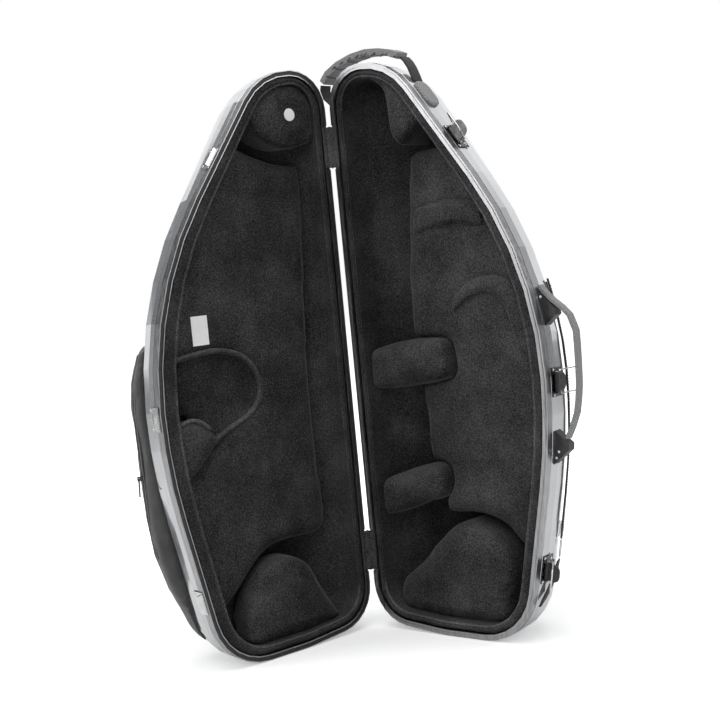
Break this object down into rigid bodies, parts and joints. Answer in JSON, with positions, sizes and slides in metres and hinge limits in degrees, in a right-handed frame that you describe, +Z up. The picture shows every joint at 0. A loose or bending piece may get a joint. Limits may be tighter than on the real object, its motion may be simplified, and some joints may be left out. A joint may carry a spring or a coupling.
{
  "type": "tenor saxophone case",
  "caption": "Hard shaped instrument case standing open on end: deep base and shallower lid with plush hollows, hinges, toggle latches, two handles, a strap and a zipped pocket.",
  "frame": {"origin": "on the floor, under the middle of the box of the open case as it stands", "axes": "+Z up along the hinge and the case's length; +X from the lid towards the base; -Y is the side the open halves face, +Y is the case's hinge side"},
  "size_m": [0.6306, 0.2774, 0.8704],
  "materials": {
    "silver_laminate": "glossy silver-grey skin with soft reflections",
    "aluminium": "satin extrusion",
    "black_rubber": "matt",
    "black_plush": "short plush pile over padding",
    "black_plastic": "satin",
    "bright_steel": "bright plated",
    "black_webbing": "woven webbing",
    "pocket_fabric": "coated woven cloth",
    "white_label": "matt"
  },
  "bodies": {
    "base": {"base_shell": "silver_laminate", "base_rim": "aluminium", "base_liner": "black_plush", "base_floor_pad": "black_plush", "base_top_pad": "black_plush", "base_ledge_upper": "black_plush", "base_ledge_lower": "black_plush", "base_bow_pad": "black_plush", "base_key_pad": "black_plush", "base_bulge": "black_plush", "hinge_lower_base_leaf": "bright_steel", "hinge_lower_base_cover": "black_webbing", "hinge_lower_pin": "bright_steel", "hinge_upper_base_leaf": "bright_steel", "hinge_upper_base_cover": "black_webbing", "hinge_upper_pin": "bright_steel", "latch_upper_plate": "bright_steel", "latch_middle_plate": "bright_steel", "latch_lower_plate": "bright_steel", "side_handle_bow": "black_webbing", "side_gusset_upper": "black_plastic", "side_gusset_lower": "black_plastic", "top_handle_grip": "black_webbing", "top_handle_strap_rear": "black_webbing", "top_handle_strap_fore": "black_webbing", "top_handle_patch_rear": "black_webbing", "top_handle_patch_fore": "black_plastic", "back_strap": "black_webbing", "back_strap_tail": "black_webbing", "strap_anchor_upper": "bright_steel", "strap_anchor_lower": "bright_steel", "strap_ring": "bright_steel"},
    "lid": {"lid_shell": "silver_laminate", "lid_rim": "aluminium", "lid_seal": "black_rubber", "lid_liner": "black_plush", "lid_floor_pad": "black_plush", "lid_wedge_pad": "black_plush", "lid_top_pad": "black_plush", "lid_heel_pad": "black_plush", "lid_stud": "white_label", "lid_label": "white_label", "hinge_lower_lid_leaf": "bright_steel", "hinge_lower_lid_cover": "black_webbing", "hinge_upper_lid_leaf": "bright_steel", "hinge_upper_lid_cover": "black_webbing", "keeper_upper": "bright_steel", "keeper_middle": "bright_steel", "keeper_lower": "bright_steel", "pocket": "pocket_fabric", "pocket_zip_tape": "pocket_fabric"},
    "latch_upper_lever": {"latch_upper_lever": "bright_steel"},
    "latch_upper_bail": {"latch_upper_bail": "bright_steel"},
    "latch_middle_lever": {"latch_middle_lever": "bright_steel"},
    "latch_middle_bail": {"latch_middle_bail": "bright_steel"},
    "latch_lower_lever": {"latch_lower_lever": "bright_steel"},
    "latch_lower_bail": {"latch_lower_bail": "bright_steel"},
    "zip_slider": {"zip_slider": "bright_steel"},
    "zip_puller": {"zip_puller": "bright_steel"}
  },
  "joints": [
    {"name": "lid_hinge", "type": "hinge", "parent": "base", "child": "lid", "pos_m": [0.00106, 0.08342, 0.42], "axis": [0, 0, 1], "range_deg": [-40, 102]},
    {"name": "latch_upper_lever_pivot", "type": "hinge", "parent": "base", "child": "latch_upper_lever", "pos_m": [0.17839, -0.03445, 0.72659], "axis": [0.4511, -0.3653, -0.8143], "range_deg": [-100, 0]},
    {"name": "latch_upper_bail_pivot", "type": "hinge", "parent": "latch_upper_lever", "child": "latch_upper_bail", "pos_m": [0.1825, -0.03956, 0.73117], "axis": [0.4511, -0.3653, -0.8143], "range_deg": [0, 133.5]},
    {"name": "latch_middle_lever_pivot", "type": "hinge", "parent": "base", "child": "latch_middle_lever", "pos_m": [0.28046, -0.1171, 0.37293], "axis": [-0.0271, 0.0219, -0.9994], "range_deg": [0, 100]},
    {"name": "latch_middle_bail_pivot", "type": "hinge", "parent": "latch_middle_lever", "child": "latch_middle_bail", "pos_m": [0.2855, -0.11088, 0.37293], "axis": [-0.0271, 0.0219, -0.9994], "range_deg": [-100, 0]},
    {"name": "latch_lower_lever_pivot", "type": "hinge", "parent": "base", "child": "latch_lower_lever", "pos_m": [0.24852, -0.09124, 0.10653], "axis": [-0.1615, 0.1308, -0.9782], "range_deg": [-100, 0]},
    {"name": "latch_lower_bail_pivot", "type": "hinge", "parent": "latch_lower_lever", "child": "latch_lower_bail", "pos_m": [0.25364, -0.09717, 0.1049], "axis": [-0.1615, 0.1308, -0.9782], "range_deg": [0, 133.5]},
    {"name": "zip_slide", "type": "slide", "parent": "lid", "child": "zip_slider", "axis": [-0.0179, -0.0145, 0.9997], "range_m": [-0.055, 0.085]},
    {"name": "zip_puller_pivot", "type": "hinge", "parent": "zip_slider", "child": "zip_puller", "pos_m": [-0.31251, -0.06036, 0.28493], "axis": [-0.4221, 0.9065, 0.0056], "range_deg": [0, 150]}
  ],
  "couplings": [
    {"joint": "latch_upper_bail_pivot", "follows": "latch_upper_lever_pivot", "ratio": -1.33},
    {"joint": "latch_middle_bail_pivot", "follows": "latch_middle_lever_pivot", "ratio": -1},
    {"joint": "latch_lower_bail_pivot", "follows": "latch_lower_lever_pivot", "ratio": -1.33}
  ]
}
